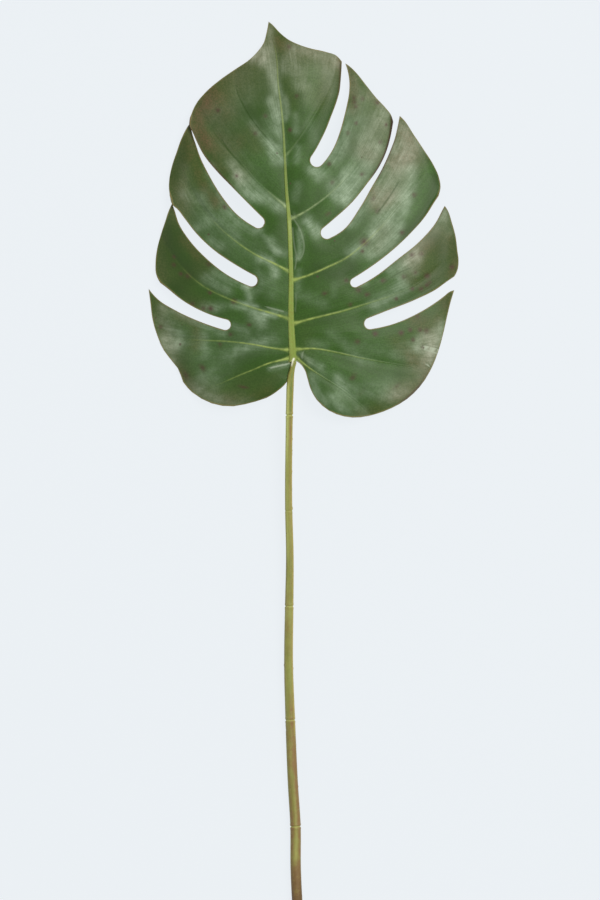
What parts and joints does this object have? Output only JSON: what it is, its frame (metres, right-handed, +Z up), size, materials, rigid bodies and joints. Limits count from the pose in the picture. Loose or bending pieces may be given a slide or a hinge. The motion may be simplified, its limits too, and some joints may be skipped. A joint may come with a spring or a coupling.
{
  "type": "monstera leaf",
  "caption": "Cut monstera leaf lying face up: a split, arched heart-shaped blade with raised ribs, on a long round stalk with ring joints.",
  "frame": {"origin": "on the table under the middle of the whole leaf's bounding box", "axes": "+Z up out of the leaf's upper face, +Y from the cut end of the stalk to the tip of the blade, +X to the right as the leaf is looked down on"},
  "size_m": [0.248, 0.7128, 0.0251],
  "materials": {
    "leaf": "semi-gloss leaf skin, green with a soft grey sheen, fine lines along the veins and a few brown specks",
    "stalk": "satin yellow-green with olive and brown streaks and pale ring joints"
  },
  "bodies": {
    "root": {"leaf_blade": "leaf", "leaf_stalk": "stalk"}
  },
  "joints": []
}
